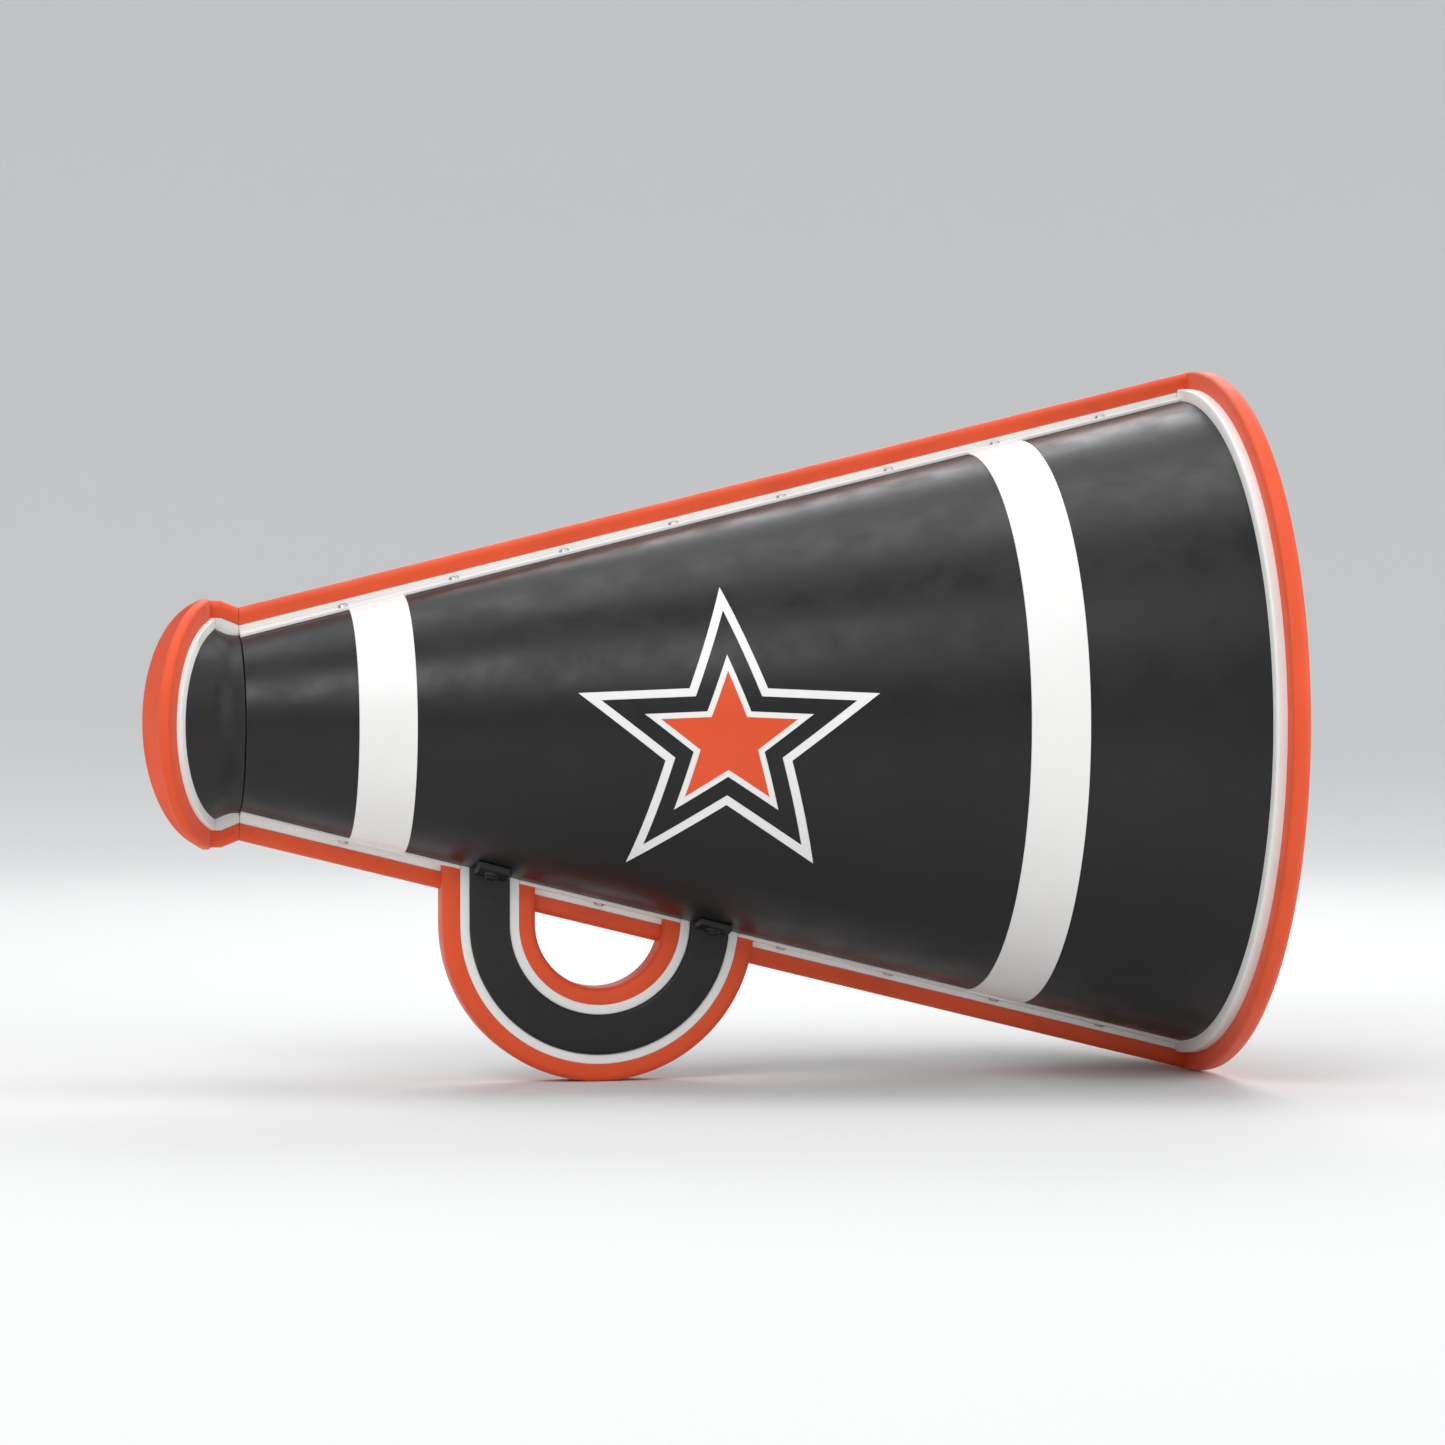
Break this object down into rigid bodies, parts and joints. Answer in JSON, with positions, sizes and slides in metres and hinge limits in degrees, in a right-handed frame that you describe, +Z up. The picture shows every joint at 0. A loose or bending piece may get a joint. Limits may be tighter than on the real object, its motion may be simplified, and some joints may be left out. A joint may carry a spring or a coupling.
{
  "type": "cheer megaphone",
  "caption": "Lightweight cone-shaped voice horn with a push-fit contoured mouthpiece, a bumper ring round the bell, trimmed seams and a loop handle below.",
  "frame": {"origin": "on the floor, below the middle of the horn's length, on its middle plane", "axes": "+X along the horn's axis towards the bell, +Z up, +Y to the left of the person who calls through it; the loop handle points down"},
  "size_m": [0.61, 0.4056, 0.4057],
  "materials": {
    "shell_plastic": "satin moulded sheet",
    "black_plastic": "fine moulded texture",
    "white_plastic": "satin",
    "white_film": "satin vinyl film",
    "orange_trim": "satin soft trim",
    "orange_film": "satin vinyl film",
    "lip_rubber": "soft matt silicone",
    "seal_rubber": "matt",
    "rivet_metal": "satin",
    "fixing_steel": "zinc plated",
    "black_steel": "black oxide"
  },
  "bodies": {
    "horn": {"neck_socket": "black_plastic", "right_shell": "shell_plastic", "left_shell": "shell_plastic", "bell_keyline": "white_plastic", "bell_ring": "orange_trim", "bell_hoop": "black_plastic", "top_joiner": "white_plastic", "bottom_joiner": "white_plastic", "top_trim": "orange_trim", "bottom_trim_rear": "orange_trim", "bottom_trim_middle": "orange_trim", "bottom_trim_front": "orange_trim", "top_strip": "black_plastic", "bottom_strip_rear": "black_plastic", "bottom_strip_middle": "black_plastic", "bottom_strip_front": "black_plastic", "top_rivets": "rivet_metal", "bottom_rivets": "rivet_metal", "rear_band_right": "white_film", "rear_band_left": "white_film", "front_band_right": "white_film", "front_band_left": "white_film", "right_star_outline": "white_film", "right_star_border": "white_film", "right_star_centre": "orange_film", "left_star_outline": "white_film", "left_star_border": "white_film", "left_star_centre": "orange_film", "handle_core": "black_plastic", "handle_outer_keyline": "white_plastic", "handle_inner_keyline": "white_plastic", "handle_outer_trim": "orange_trim", "handle_inner_trim": "orange_trim", "handle_plate_rear": "fixing_steel", "handle_plate_front": "fixing_steel", "handle_screws": "black_steel", "handle_washers": "fixing_steel", "handle_nuts": "fixing_steel"},
    "mouthpiece": {"mouthpiece_body": "black_plastic", "mouthpiece_keyline": "white_plastic", "mouthpiece_lip": "lip_rubber", "mouthpiece_seal": "seal_rubber"}
  },
  "joints": [
    {"name": "mouthpiece_slide", "type": "slide", "parent": "horn", "child": "mouthpiece", "axis": [-1, 0, 0], "range_m": [0, 0.045]}
  ]
}
